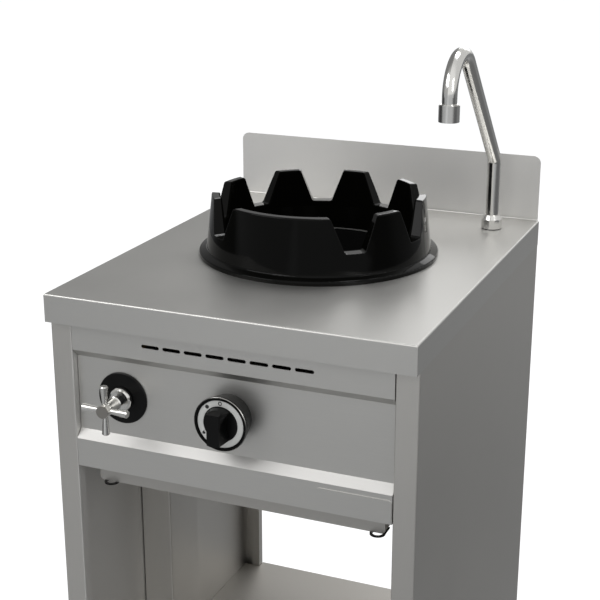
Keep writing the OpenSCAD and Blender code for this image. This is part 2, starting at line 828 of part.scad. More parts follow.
// Cap with three rings of flame ports
module burner_cap() color(iron) place() translate([0, burner_y, -chamber_z]) difference() {
    union() {
        cylinder(r = head_r, h = cap_t * 2 / 3);
        cylinder(r = head_r - cap_t / 3, h = cap_t);
    }
    for (ring = [1 : 3]) for (i = [0 : port_count * ring / 3 - 1])
        rotate(i * 1080 / (port_count * ring))
            translate([ring * head_r / 4, 0, -cut]) cylinder(r = cap_t / 6, h = cap_t + 2 * cut, $fn = 16);
}

// Brass jet screwed through the holder plate
module injector() color(brass) place() translate([0, 0, -control_z]) {
    translate([0, injector_y - injector_r, 0]) rotate([-90, 0, 0]) hexagon(injector_r, injector_r);
    translate([0, injector_y, 0]) rotate([-90, 0, 0]) {
        cylinder(r = feed_r, h = holder_t, $fn = fine);
        translate([0, 0, holder_t]) cylinder(r1 = feed_r + near, r2 = feed_r / 2, h = injector_r, $fn = fine);
    }
}

// Short pipe from the valve's outlet to the injector, with a nut at each end
module burner_feed_pipe() color(brass) place()
translate([0, valve_outlet_y, -control_z]) rotate([-90, 0, 0]) {
    l = injector_y - injector_r - valve_outlet_y;
    cylinder(r = feed_r, h = l, $fn = fine);
    hexagon(valve_outlet_r, l / 3);
    translate([0, 0, l * 2 / 3]) hexagon(valve_outlet_r, l / 3);
}

pilot_r = 3;
pilot_side = 10;
pilot_x = valve_w + pilot_side;
pilot_top = chamber_z - cap_t;
pilot_place_y = burner_y - sqrt(head_r * head_r - pilot_x * pilot_x) - 2 * pilot_r;
probe_r = 1.5;
probe_x = pilot_x + 3 * pilot_r;
pilot_plate_z = chamber_z + head_rim;

// Pilot: upright jet and the plate that fixes it and the probe to the burner
module pilot_burner() color(brass) place() difference() {
    union() {
        translate([pilot_x, pilot_place_y, -pilot_plate_z - 4 * pilot_r])
            cylinder(r = pilot_r + sheet_t, h = pilot_plate_z + 4 * pilot_r - pilot_top, $fn = fine);
        difference() {
            bar(0, probe_x + 3 * pilot_r, pilot_place_y - 2 * pilot_r, burner_y,
                -pilot_plate_z, -pilot_plate_z + 2 * sheet_t);
            translate([0, burner_y, -top_h]) cylinder(r = head_r, h = top_h);
        }
    }
    translate([probe_x, pilot_place_y, -top_h]) cylinder(r = probe_r, h = top_h, $fn = fine);
}

// Thin pipe from the valve's side to the pilot
module pilot_pipe() color(brass) place() {
    z = pilot_z - control_z;
    square_pipe([[valve_w, pilot_y, z], [pilot_x, pilot_y, z], [pilot_x, pilot_place_y, z],
                 [pilot_x, pilot_place_y, -pilot_plate_z - 4 * pilot_r]], pilot_r, 2.5 * pilot_r);
}

// Probe beside the pilot flame, with its lead back to the valve
module thermocouple() color(polished) place() {
    z = -pilot_z - control_z;
    square_pipe([[valve_w, couple_y, z], [probe_x, couple_y, z], [probe_x, pilot_place_y, z],
                 [probe_x, pilot_place_y, -pilot_top]], probe_r, 5 * probe_r);
}

collar_r = 9;
collar_seat = 5;

// Gas tap: body with its front boss, and the inlet, outlet and two side ports
module gas_valve() color(brass) place() difference() {
    union() {
        bar(-valve_w, valve_w, valve_front, valve_back, -control_z - valve_w, -control_z + valve_w);
        translate([0, face_y + sheet_t, -control_z]) rotate([-90, 0, 0])
            cylinder(r = valve_boss_r, h = valve_front - face_y - sheet_t);
        translate([0, valve_back, -control_z]) rotate([-90, 0, 0])
            cylinder(r = valve_outlet_r, h = valve_outlet_y - valve_back);
        translate([0, valve_inlet_y, -control_z - valve_w - pilot_r])
            cylinder(r = valve_inlet_r, h = 2 * pilot_r);
    }
    translate([0, 0, -control_z]) {
        translate([0, face_y - cut, 0]) rotate([-90, 0, 0]) {
            cylinder(r = spindle_r + fit_gap, h = spindle_in + knob_push + 2 * cut, $fn = fine);
            cylinder(r = collar_r + fit_gap, h = cut + sheet_t + 2 * collar_seat + knob_push, $fn = fine);
        }
    }
}

// Washer on the spindle that rides in the valve's boss and pushes in with the knob
module valve_thrust_collar() color(brass) place()
    translate([0, face_y + sheet_t + near, -control_z]) rotate([-90, 0, 0]) difference() {
        cylinder(r = collar_r, h = collar_seat, $fn = fine);
        translate([0, 0, -cut]) cylinder(r = spindle_r + fit_gap, h = collar_seat + 2 * cut, $fn = fine);
    }

knob_back = bezel_h / 2;
hub_l = 9;
hub_r = 8;

module valve_spindle() color(polished) place() on_panel(0)
    translate([0, 0, -spindle_in]) cylinder(r = spindle_r, h = spindle_in + knob_back, $fn = fine);

dial_seat = bezel_h - 2.4;
dial_t = 0.8;
bezel_wall = 4.6;
bezel_back_r = 29.5;
bezel_hole = 12;

// Drum round the knob, wider toward its front
module knob_bezel() color(plastic) place() on_panel(0) rotate_extrude() polygon([
    [bezel_hole, 0], [bezel_back_r, 0], [bezel_r, dial_seat], [bezel_r, bezel_h - dial_t],
    [bezel_r - dial_t, bezel_h],
    [bezel_r - bezel_wall + dial_t, bezel_h], [bezel_r - bezel_wall, bezel_h - dial_t],
    [bezel_r - bezel_wall, dial_seat], [knob_r + clear, dial_seat],
    [knob_r + clear, dial_seat - 2 * dial_t], [bezel_back_r - bezel_wall, knob_back],
    [bezel_back_r - bezel_wall, 2 * dial_t],
    [bezel_hole, 2 * dial_t]
]);

// Pale ring that carries the marks
module dial_ring() color([0.78, 0.78, 0.77]) place() on_panel(0) translate([0, 0, dial_seat]) difference() {
    cylinder(r = bezel_r - bezel_wall, h = dial_t);
    translate([0, 0, -cut]) cylinder(r = knob_r + 1.2 * clear, h = dial_t + 2 * cut);
}

grip_base_w = 27;
grip_scoop_l = 38;
grip_slope_l = 3;
grip_slope_h = 12;

// Turning knob: disc, hub and a grip that widens toward the disc, scooped on both sides
module gas_knob() color(plastic) place() on_panel(0) difference() {
    bite = (grip_base_w - grip_w) / 2;
    scoop_r = (grip_scoop_l * grip_scoop_l / 4 + bite * bite) / (2 * bite);
    union() {
        translate([0, 0, knob_back]) cylinder(r = knob_r, h = bezel_h - knob_back);
        translate([0, 0, knob_back - hub_l]) cylinder(r = hub_r, h = hub_l);
        intersection() {
            cylinder(r = knob_r - near, h = knob_stand);
            translate([0, knob_r, 0]) rotate([90, 0, 0]) linear_extrude(2 * knob_r) polygon([
                [-grip_base_w / 2, bezel_h - near], [grip_base_w / 2, bezel_h - near],
                [grip_w / 2, knob_stand], [-grip_w / 2, knob_stand]
            ]);
        }
    }
    for (s = [-1, 1]) translate([s * (scoop_r + grip_w / 2), 0, bezel_h])
        cylinder(r = scoop_r, h = knob_stand, $fn = 2 * $fn);
    translate([-grip_w, knob_r, knob_stand]) rotate([90, 0, 90]) linear_extrude(2 * grip_w) polygon([
        [-grip_slope_l, cut / 2], [-grip_slope_l, 0], [0, -grip_slope_h], [cut, -grip_slope_h], [cut, cut / 2]
    ]);
    translate([0, 0, knob_back - hub_l - cut]) cylinder(r = spindle_r, h = hub_l + cut, $fn = fine);
}

rose_hole_r = 13;
rose_seat_r = 16.5;
rose_h = 6;
collar_l = 4.8;
stem_r = 6.5;
water_back = 46;
water_body_r = 18;
bonnet_r = 12.6;

// Brass body of the water valve behind the panel
module water_valve() color(brass) place() on_panel(-water_x) difference() {
    union() {
        translate([0, 0, -sheet_t - water_back]) cylinder(r = water_body_r, h = water_back);
        translate([0, 0, -2 * sheet_t]) cylinder(r = bonnet_r, h = 2 * sheet_t + rose_h, $fn = fine);
        for (turned = [[0, -90, 0], [-90, 0, 0]]) translate([0, 0, water_mid]) rotate(turned)
            cylinder(r = union_r, h = water_body_r + 4 * sheet_t);
    }
    translate([0, 0, -sheet_t - water_back / 2]) cylinder(r = stem_r + fit_gap, h = water_back, $fn = fine);
}

water_mid = -sheet_t - water_back * 3 / 5;

// Black domed rose on the control face
module water_valve_rose() color(plastic) place() on_panel(-water_x) rotate_extrude() polygon([
    [rose_hole_r, 0], [rose_r, 0], [rose_r, 1.2 * sheet_t], [rose_r - sheet_t, 2 * sheet_t],
    [rose_seat_r, rose_h - 2 * sheet_t], [rose_seat_r, rose_h], [rose_hole_r, rose_h]
]);

// Chrome ring nut that clamps the rose
module water_valve_collar() color(polished) place()
on_panel(-water_x) translate([0, 0, rose_h]) rotate_extrude() polygon([
    [stem_r + clear, 0], [rose_seat_r - clear, 0], [rose_seat_r - clear, collar_l / 2],
    [rose_seat_r - sheet_t, collar_l - sheet_t], [rose_seat_r - 3 * sheet_t, collar_l],
    [stem_r + clear, collar_l]
]);

handle_hub_l = 31;
handle_mid = handle_stand - 8;
hub_flare_r = 8.6;
spoke_in_r = 2.6;
spoke_out_r = 5.2;
handle_low = handle_stand - handle_hub_l - 1.5;
handle_cap_t = 1.5;

// Spindle that the cross handle turns
module water_spindle() color(plastic) place() on_panel(-water_x)
    translate([0, 0, -sheet_t - water_back / 2 + clear])
        cylinder(r = stem_r, h = sheet_t + water_back / 2 - clear + handle_low, $fn = fine);

// Four tapered spokes on a waisted hub
module cross_handle() color(polished) place() on_panel(-water_x) {
    translate([0, 0, handle_low]) rotate_extrude() polygon([
        [0, 0], [hub_flare_r, 0], [hub_flare_r + sheet_t, sheet_t], [hub_flare_r, 2 * sheet_t],
        [hub_flare_r * 3 / 4, handle_hub_l / 2], [hub_flare_r, handle_hub_l * 3 / 4],
        [hub_flare_r, handle_hub_l], [0, handle_hub_l]
    ]);
    for (a = [0 : 90 : 270]) translate([0, 0, handle_mid]) rotate([0, 0, a]) rotate([0, 90, 0]) {
        cylinder(r1 = spoke_in_r, r2 = spoke_out_r, h = handle_r - spoke_out_r / 4, $fn = fine);
        translate([0, 0, handle_r - spoke_out_r / 4])
            cylinder(r1 = spoke_out_r, r2 = spoke_out_r * 4 / 5, h = spoke_out_r / 4, $fn = fine);
    }
}

module handle_cap() color(steel) place() on_panel(-water_x)
    translate([0, 0, handle_stand - handle_cap_t])
        cylinder(r = hub_flare_r - near, h = handle_cap_t, $fn = fine);

// End of a supply pipe under the shelf: union nut and a male thread
module supply_end(y) {
    translate([-pipe_x, y, -pipe_end]) {
        cylinder(r = thread_r, h = thread_l, $fn = fine);
        translate([0, 0, thread_l]) hexagon(union_r, union_l);
    }
}

module gas_inlet_pipe() color(brass) place() {
    difference() {
        union() {
            square_pipe([[-pipe_x, gas_y, -pipe_end + thread_l], [-pipe_x, gas_y, -gas_lane_z],
                         [-pipe_x, valve_inlet_y, -gas_lane_z], [0, valve_inlet_y, -gas_lane_z],
                         [0, valve_inlet_y, -control_z - valve_w - pilot_r]], pipe_r, pipe_bend);
            supply_end(gas_y);
        }
        translate([-pipe_x, gas_y, -pipe_end - cut]) cylinder(r = pipe_r, h = thread_l, $fn = fine);
    }
}

module water_inlet_pipe() color(brass) place() {
    y = face_y - water_mid;
    difference() {
        union() {
            square_pipe([[-pipe_x, water_y, -pipe_end + thread_l], [-pipe_x, water_y, -control_z],
                         [-pipe_x, y, -control_z], [-water_x - water_body_r - 4 * sheet_t, y, -control_z]],
                        pipe_r, pipe_bend);
            supply_end(water_y);
        }
        translate([-pipe_x, water_y, -pipe_end - cut]) cylinder(r = pipe_r, h = thread_l, $fn = fine);
    }
}

// Pipe from the water valve round the burner to the tap's shank
module tap_supply_pipe() color(brass) place() {
    y = face_y - water_mid;
    lane = top_edge + 2 * pipe_bend + pipe_r;
    square_pipe([[-water_x, y, -control_z + water_body_r + 4 * sheet_t], [-water_x, y, -lane],
                 [-water_x, tap_y, -lane], [tap_x, tap_y, -lane], [tap_x, tap_y, -shank_l]],
                pipe_r * 4 / 5, pipe_bend);
    translate([tap_x, tap_y, -shank_l - union_l]) hexagon(union_r, union_l);
}

// Tap's fixed part: faceted nut above the worktop and the threaded shank below
module tap_base() color(polished) place() translate([tap_x, tap_y, 0]) difference() {
    union() {
        translate([0, 0, seal_t]) intersection() {
            cylinder(r = nut_r, h = nut_h + nut_cone_h, $fn = nut_sides);
            union() {
                cylinder(r = nut_r, h = nut_h);
                translate([0, 0, nut_h]) cylinder(r1 = nut_r, r2 = nut_neck_r, h = nut_cone_h);
            }
        }
        translate([0, 0, -shank_l]) cylinder(r = shank_r, h = shank_l + 2 * seal_t, $fn = fine);
    }
    translate([0, 0, nut_top - spigot_l - near])
        cylinder(r = spigot_r + fit_gap, h = spigot_l + cut, $fn = fine);
}

module tap_seal() color(plastic) place() translate([tap_x, tap_y, 0]) difference() {
    cylinder(r = nut_neck_r + 2 * seal_t, h = seal_t, $fn = fine);
    translate([0, 0, -cut]) cylinder(r = shank_r + near / 2, h = seal_t + 2 * cut, $fn = fine);
}

module tap_locknut() color(brass) place() translate([tap_x, tap_y, -top_t - nut_h / 2]) difference() {
    union() {
        hexagon(nut_r + 2 * seal_t, nut_h / 2 - seal_t);
        cylinder(r = nut_r + 4 * seal_t, h = nut_h / 2, $fn = fine);
    }
    translate([0, 0, -cut]) cylinder(r = shank_r, h = nut_h, $fn = fine);
}

// Bend of a tube that comes in along +y and turns toward +x
module tube_bend(r, bend, sweep) {
    translate([bend, 0, 0]) rotate([0, 0, half_turn - sweep])
        rotate_extrude(angle = sweep) translate([bend, 0]) circle(r, $fn = fine);
}

// Carries the children to the end of such a bend
module after_bend(bend, sweep) {
    translate([bend, 0, 0]) rotate([0, 0, -sweep]) translate([-bend, 0, 0]) children();
}

// Straight tube along +y, let into the bend at its end, and at its start where both is 1
module tube_along(r, l, both) {
    translate([0, -both * weld_in, 0]) rotate([-90, 0, 0])
        cylinder(r = r - weld_step, h = l + (1 + both) * weld_in, $fn = fine);
}

// Swivel spout, drawn with x forward and y up, then stood up facing the front
module spout() color(polished) place() translate([tap_x, tap_y, 0]) rotate([0, 0, -90]) rotate([90, 0, 0]) {
    tangent = mitre_r * tan(slope / 2);
    rise = spout_bend_h - tangent - nut_top;
    run = spout_slope_l - tangent;
    drop = spout_bend_h + spout_slope_l * cos(slope) - spout_neck_r * sin(slope) - outlet_h - aerator_l;
    translate([0, nut_top, 0]) {
        translate([0, -spigot_l, 0]) tube_along(spigot_r + weld_step, spigot_l, 0);
        tube_along(spout_r, rise, 0);
        translate([0, rise, 0]) {
            tube_bend(spout_r, mitre_r, slope);
            after_bend(mitre_r, slope) {
                tube_along(spout_r, run, 1);
                translate([0, run, 0]) {
                    tube_bend(spout_r, spout_neck_r, half_turn - slope);
                    after_bend(spout_neck_r, half_turn - slope) translate([0, drop, 0])
                        rotate([0, 0, half_turn]) tube_along(spout_r, drop, 0);
                }
            }
        }
    }
}

spout_reach = spout_slope_l * sin(slope) + spout_neck_r * (1 + cos(slope));

module aerator() color(polished) place()
    translate([tap_x, tap_y - spout_reach, outlet_h]) difference() {
        union() {
            cylinder(r = aerator_r, h = aerator_l - seal_t);
            cylinder(r = aerator_r - seal_t, h = aerator_l);
        }
        translate([0, 0, -cut]) cylinder(r = aerator_r - 2 * seal_t, h = aerator_l / 4 + cut);
    }

// Outline of the tray's box from the front, round at its lower corners
module tray_section(inset) {
    w = tray_x - inset;
    r = tray_corner - inset;
    translate([-w, r - tray_h + inset]) square([2 * w, tray_h - r - inset]);
    translate([r - w, inset - tray_h]) square([2 * (w - r), tray_h - inset]);
    for (s = [-1, 1]) translate([s * (w - r), inset + r - tray_h]) circle(r, $fn = fine);
}

module drip_tray() color(steel) place() translate([0, tray_y, -tray_top]) difference() {
    union() {
        translate([0, tray_l, 0]) rotate([90, 0, 0]) linear_extrude(tray_l) tray_section(0);
        bar(-tray_x - tray_flange, tray_x + tray_flange, runner_y - tray_y, tray_l, -sheet_t, 0);
    }
    translate([0, tray_l - sheet_t, 0]) rotate([90, 0, 0])
        linear_extrude(tray_l - 2 * sheet_t) difference() {
            tray_section(sheet_t);
            translate([-tray_x, 0]) square([tray_w, tray_h]);
        }
    bar(sheet_t - tray_x, tray_x - sheet_t, sheet_t, tray_l - sheet_t, -tray_corner, cut);
}

pull_t = 1.8;
pull_band = 3.4;
pull_x = tray_x - pull_r - pull_band;
pull_shift = 3.5;

// Two black finger rings under the tray's front edge
module tray_pulls() color(plastic) place() translate([pull_shift, 0, 0]) both_sides()
    translate([pull_x, tray_y + clear, -tray_top - tray_h - pull_t]) difference() {
        union() {
            cylinder(r = pull_r, h = pull_t);
            bar(pull_r / 4, pull_r - clear, 0, 2 * pull_r, 0, pull_t);
        }
        translate([0, 0, -cut]) cylinder(r = pull_r - pull_band, h = pull_t + 2 * cut);
    }

function polar(r, a) = [r * cos(a), r * sin(a)];

// Notch outline, wide at the top and round at its lower corners
module notch_shape() {
    rise = ring_h - notch_z;
    lean = atan2((notch_top_w - notch_low_w) / 2, rise);
    side = notch_round * tan(45 - lean / 2);
    low = notch_low_w / 2 - side;
    touch = [notch_low_w / 2 + side * sin(lean), side * cos(lean)];
    drop = tooth_corner * cos(tooth_brim);
    hub = [notch_top_w / 2 + (tooth_corner - drop * sin(lean)) / cos(lean), rise - drop];
    turn = (90 - lean - tooth_brim / 2) / tooth_steps;
    bend = [for (i = [0 : tooth_steps]) hub + polar(tooth_corner, half_turn - lean - i * turn)];
    half = concat([[low, 0], touch], bend, [[bend[tooth_steps][0], rise + cut]]);
    polygon(concat(half, [for (i = [len(half) - 1 : -1 : 0]) [-half[i][0], half[i][1]]]));
    for (s = [-1, 1]) translate([s * low, notch_round]) circle(notch_round, $fn = fine);
}

// Cast ring that the wok sits in; it lifts off the worktop
module wok_ring() color(enamel) place() translate([0, burner_y, 0]) difference() {
    shoulder = ring_h - tooth_round;
    edge = [ring_flange_r - lip_round, lip_rise - lip_round];
    brow = edge + polar(lip_round, 90 - ring_fall);
    foot = [ring_foot_r, brow[1] + (brow[0] - ring_foot_r) * tan(ring_fall)];
    lean = atan2(ring_foot_r - ring_top_r, shoulder - foot[1]);
    wide = quarter_turn + lean + ring_fall;
    reach = ring_round / tan(wide / 2);
    rotate_extrude() {
        difference() {
            polygon([
                [ring_in_r, 0], [ring_flange_r, 0], [ring_flange_r, edge[1]], brow,
                foot + polar(reach, -ring_fall), foot + polar(reach, 90 + lean),
                [ring_top_r, shoulder], [ring_top_r - tooth_round, ring_h],
                [ring_top_r - ring_wall + tooth_round, ring_h], [ring_top_r - ring_wall, shoulder],
                [ring_top_r - ring_wall - tooth_round, notch_z - foot_chamfer],
                [ring_in_r + sheet_t, foot_chamfer]
            ]);
            translate(foot + polar(ring_round / sin(wide / 2), wide / 2 - ring_fall))
                circle(ring_round, $fn = fine);
        }
        for (x = [ring_top_r - tooth_round, ring_top_r - ring_wall + tooth_round])
            translate([x, shoulder]) circle(tooth_round, $fn = fine);
        translate(edge) circle(lip_round, $fn = fine);
    }
    for (i = [1 : ring_places - 1]) rotate([0, 0, i * ring_place_turn - 90])
        translate([ring_top_r - 2 * ring_wall, 0, notch_z]) rotate([90, 0, 90])
            linear_extrude(3 * ring_wall) notch_shape();
}

worktop();
side_panel_left();
side_panel_right();
control_panel();
name_plate();
back_panel();
front_rail();
rear_rail();
lower_shelf();
pipe_duct();
tray_runner_left();
tray_runner_right();
worktop_bolts();
rail_bolts();
panel_bolts();
leg_sleeves();
leg_bolts();
burner_well();
well_nuts();
burner_bracket();
burner_body();
burner_cap();
bracket_bolts();
injector();
burner_feed_pipe();
pilot_burner();
pilot_pipe();
thermocouple();
gas_valve();
gas_inlet_pipe();
knob_bezel();
dial_ring();
valve_thrust_collar();
valve_spindle();
gas_knob();
water_valve();
water_valve_rose();
water_valve_collar();
water_spindle();
cross_handle();
handle_cap();
water_inlet_pipe();
tap_supply_pipe();
tap_base();
tap_seal();
tap_locknut();
spout();
aerator();
drip_tray();
tray_pulls();
wok_ring();
foot_front_left();
foot_front_right();
foot_back_left();
foot_back_right();
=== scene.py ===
"""A free-standing wok range, photographed on white: satin stainless stand, black enamelled
cast ring, chrome swivel tap, black controls. Metres, +Z up, the user stands at -Y."""
import math

import bmesh
import bpy
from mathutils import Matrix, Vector


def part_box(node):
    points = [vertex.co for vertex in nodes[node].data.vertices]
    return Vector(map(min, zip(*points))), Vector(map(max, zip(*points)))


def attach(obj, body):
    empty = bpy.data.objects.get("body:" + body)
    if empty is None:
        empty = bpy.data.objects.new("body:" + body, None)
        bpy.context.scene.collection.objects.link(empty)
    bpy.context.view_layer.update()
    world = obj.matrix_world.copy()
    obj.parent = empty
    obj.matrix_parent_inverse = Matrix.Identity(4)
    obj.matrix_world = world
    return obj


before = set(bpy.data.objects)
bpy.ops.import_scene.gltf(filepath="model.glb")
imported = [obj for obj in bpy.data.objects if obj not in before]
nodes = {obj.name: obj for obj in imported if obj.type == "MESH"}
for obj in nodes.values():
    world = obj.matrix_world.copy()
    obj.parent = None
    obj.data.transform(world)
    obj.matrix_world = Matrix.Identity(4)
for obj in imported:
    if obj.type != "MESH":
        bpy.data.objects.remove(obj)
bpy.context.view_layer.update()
MM = 0.001

# Settings that several shader nodes share
ADD = {"operation": "ADD"}
MULTIPLY = {"operation": "MULTIPLY"}
LESS = {"operation": "LESS_THAN"}
MORE = {"operation": "GREATER_THAN"}
RGBA = {"data_type": "RGBA"}
SMOOTH = {"interpolation_type": "SMOOTHSTEP"}


# Colour and shader nodes

def srgb(hex_code):
    """An sRGB hex value as linear RGBA."""
    parts = [int(hex_code[i:i + 2], 16) / 255 for i in (1, 3, 5)]
    return [c / 12.92 if c <= 0.04045 else ((c + 0.055) / 1.055) ** 2.4 for c in parts] + [1.0]


def connect(tree, node, **sockets):
    """Sets a node's sockets. A socket given a node is linked to its first output, one given an
    output is linked to that, and any other value is set. A socket's name is written with _ for
    a space, or as _0, _1 for its place in the list."""
    for name, value in sockets.items():
        socket = node.inputs[int(name[1:])] if name[0] == "_" else node.inputs[name.replace("_", " ")]
        if isinstance(value, bpy.types.Node):
            value = value.outputs[0]
        if isinstance(value, bpy.types.NodeSocket):
            tree.links.new(value, socket)
        else:
            socket.default_value = value


def put(tree, kind, settings=None, **sockets):
    """Adds a node with its settings and sockets."""
    node = tree.nodes.new(kind)
    for name, value in (settings or {}).items():
        setattr(node, name, value)
    connect(tree, node, **sockets)
    return node


def new_material(name, base, metallic, roughness, **more):
    """A material with one Principled shader; gives (material, tree, shader)."""
    material = bpy.data.materials.new(name)
    material.use_nodes = True
    tree = material.node_tree
    tree.nodes.clear()
    shader = put(tree, "ShaderNodeBsdfPrincipled", Base_Color=srgb(base), Metallic=metallic,
                 Roughness=roughness, **more)
    put(tree, "ShaderNodeOutputMaterial", Surface=shader)
    return material, tree, shader


def place_in(tree, scale=(1, 1, 1)):
    """Object position in metres, scaled on each axis."""
    where = put(tree, "ShaderNodeTexCoord")
    return put(tree, "ShaderNodeMapping", Vector=where.outputs["Object"], Scale=scale)


def position_in(tree):
    """The x, y and z outputs of the object position in metres."""
    return put(tree, "ShaderNodeSeparateXYZ", _0=place_in(tree)).outputs


def facing_in(tree):
    """The x, y and z outputs of the way that a face looks."""
    normal = put(tree, "ShaderNodeNewGeometry").outputs["Normal"]
    return put(tree, "ShaderNodeSeparateXYZ", _0=normal).outputs


def per_mm(size_mm):
    """Noise scale whose features are about size_mm across, for positions in metres."""
    return 1 / (size_mm * MM)


def from_axis(tree, node, across):
    """Distance of the shaded point from a CAD node's own axis, in the plane of two axes: "xz" for
    a piece that faces the user, "xy" for one that stands upright. Gives the point's x, y and z
    outputs too."""
    low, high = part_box(node)
    point = position_in(tree)
    flat = put(tree, "ShaderNodeCombineXYZ", **{c.upper(): point["xyz".index(c)] for c in across})
    centre = [(low[i] + high[i]) / 2 if "xyz"[i] in across else 0 for i in range(3)]
    gap = put(tree, "ShaderNodeVectorMath", {"operation": "DISTANCE"}, _0=flat, _1=centre)
    return gap.outputs["Value"], point


# Stainless steel

# The brush's own lines are about 0.05 mm wide, and are drawn this wide so that they show
brush_line_mm = 0.4
# A line's noise scale along itself, as a share of that across it
brush_line_stretch = 0.012
handling_patch_mm = 160
rough_swing = 0.05
tone_swing = 0.05
scuff_roughness = 0.16
# Paler tone painted on the masked part of a sheet: painted light
painted_light_tone = "#DCDBD9"
# The bend where the worktop turns up into the splashback, in metres
bend_start, bend_end = 0.852, 0.856
# The left panel's scuffs and its painted light fade in between these depths, in metres
fade_start, fade_end = 0.05, -0.1


def splashback_part(tree):
    """1 above the worktop, on the splashback, which the brush crossed the other way: rougher,
    and painted paler there as painted light.
    """
    return put(tree, "ShaderNodeMapRange", Value=position_in(tree)[2], From_Min=bend_start, From_Max=bend_end)


def ledge_part(tree):
    """1 on faces that look upward: the sloping ledge under the controls, rougher from wiping,
    and painted paler there as painted light.
    """
    return put(tree, "ShaderNodeMapRange", Value=facing_in(tree)[2], From_Min=0.3, From_Max=0.5)


def inner_part(tree):
    """1 on the inside of the left panel near its opening: rougher from what goes on the shelf,
    and painted paler there, painted light on its shaded inside.
    """
    inside = put(tree, "ShaderNodeMapRange", Value=facing_in(tree)[0], From_Min=0.3, From_Max=0.5)
    near = put(tree, "ShaderNodeMapRange", Value=position_in(tree)[1], From_Min=fade_start, From_Max=fade_end)
    return put(tree, "ShaderNodeMath", MULTIPLY, _0=inside, _1=near)


def brushed_stainless(name, base, along, roughness, scuffed_and_painted_light=None):
    """304 stainless sheet with a fine belt-brushed grain that runs along one axis. Broad pale
    and dull patches come from handling and from the sheet's slight waviness. One part of a
    sheet can be made rougher by scuffing, and is painted paler there: painted light."""
    material, tree, shader = new_material(name, base, 1.0, roughness)
    line = per_mm(brush_line_mm)
    fine = tuple(line * (brush_line_stretch if axis == along else 1.0) for axis in "xyz")
    grain = put(tree, "ShaderNodeTexNoise", Vector=place_in(tree, fine), Scale=1.0, Detail=2.0,
                Roughness=0.6)
    patch = put(tree, "ShaderNodeTexNoise", Vector=place_in(tree), Scale=per_mm(handling_patch_mm),
                Detail=2.0, Roughness=0.5)
    lines = put(tree, "ShaderNodeMapRange", Value=grain, To_Min=-rough_swing, To_Max=rough_swing)
    patches = put(tree, "ShaderNodeMapRange", Value=patch, To_Min=roughness - rough_swing,
                  To_Max=roughness + rough_swing)
    rough = put(tree, "ShaderNodeMath", ADD, _0=lines, _1=patches)
    dark = [c * (1 - tone_swing) for c in srgb(base)[:3]] + [1.0]
    light = [min(1.0, c * (1 + tone_swing)) for c in srgb(base)[:3]] + [1.0]
    tone = put(tree, "ShaderNodeMix", RGBA, Factor=grain, _6=dark, _7=light).outputs[2]
    if scuffed_and_painted_light:
        part = scuffed_and_painted_light(tree)
        duller = put(tree, "ShaderNodeMapRange", Value=part, To_Max=scuff_roughness)
        rough = put(tree, "ShaderNodeMath", ADD, _0=rough, _1=duller)
        # Painted light: the masked part is painted the paler tone
        tone = put(tree, "ShaderNodeMix", RGBA, Factor=part, _6=tone, _7=srgb(painted_light_tone)).outputs[2]
    bump = put(tree, "ShaderNodeBump", Strength=0.06, Distance=0.05 * MM, Height=grain)
    connect(tree, shader, Base_Color=tone, Roughness=rough, Normal=bump)
    return material


# On the worktop the splashback is painted paler: painted light
steel_top = brushed_stainless("brushed_stainless_worktop", "#CCCBC8", "y", 0.42, splashback_part)
# Faces of the front steel that look upward are painted paler: painted light
steel_front = brushed_stainless("brushed_stainless_front", "#CBCAC7", "x", 0.44, ledge_part)
steel_upright = brushed_stainless("brushed_stainless_upright", "#CAC8C4", "z", 0.44)
# The inside of the left panel near its opening is painted paler: painted light
steel_left_painted_light = brushed_stainless("brushed_stainless_left_painted_light", "#CAC8C4", "z", 0.44, inner_part)
# Shelf and tray are thinner sheet with a duller mill finish. The tray's tone is also set darker than the
# panel above it: painted shade under the panel's lip
steel_mill = brushed_stainless("mill_finish_stainless", "#BBB8B3", "x", 0.5)
steel_tray_painted_shade = brushed_stainless("mill_finish_tray_painted_shade", "#BAB8B4", "x", 0.46)


# Enamel, castings, mouldings and plating

# The flame burnt the ring's enamel out to this radius
burnt_radius_mm = 139.5
# Level faces of the ring above this height, in metres, are tops of teeth and notches
ring_tops = 0.875
# The glaze's coat IOR, and a higher one that paints a highlight on the level tops
glaze_ior, highlight_ior = 1.14, 1.4
# The bezel's painted highlight, a thin pale metal line round its front edge: where it starts from the dial's
# axis, and how deep it goes
highlight_start_mm, highlight_depth_mm = 35.2, 0.8
bezel_black, bezel_highlight_tone = "#0B0B0B", "#8F8E8B"


def bumped(material, tree, shader, size_mm, strength, depth_mm, low, high, detail=3.0,
           stretch=(1, 1, 1), edge_mm=0.0):
    """Gives a shader a noise bump of one grain size, and a roughness that follows it. With an
    edge radius, sharp edges are shaded round, so that they catch a thin line of light."""
    grain = put(tree, "ShaderNodeTexNoise", Vector=place_in(tree, stretch), Scale=per_mm(size_mm),
                Detail=detail, Roughness=0.55)
    rough = put(tree, "ShaderNodeMapRange", Value=grain, To_Min=low, To_Max=high)
    bump = put(tree, "ShaderNodeBump", Strength=strength, Distance=depth_mm * MM, Height=grain)
    if edge_mm:
        edge = put(tree, "ShaderNodeBevel", {"samples": 6}, Radius=edge_mm * MM)
        connect(tree, bump, Normal=edge)
        connect(tree, shader, Coat_Normal=edge)
    connect(tree, shader, Roughness=rough, Normal=bump)
    return material


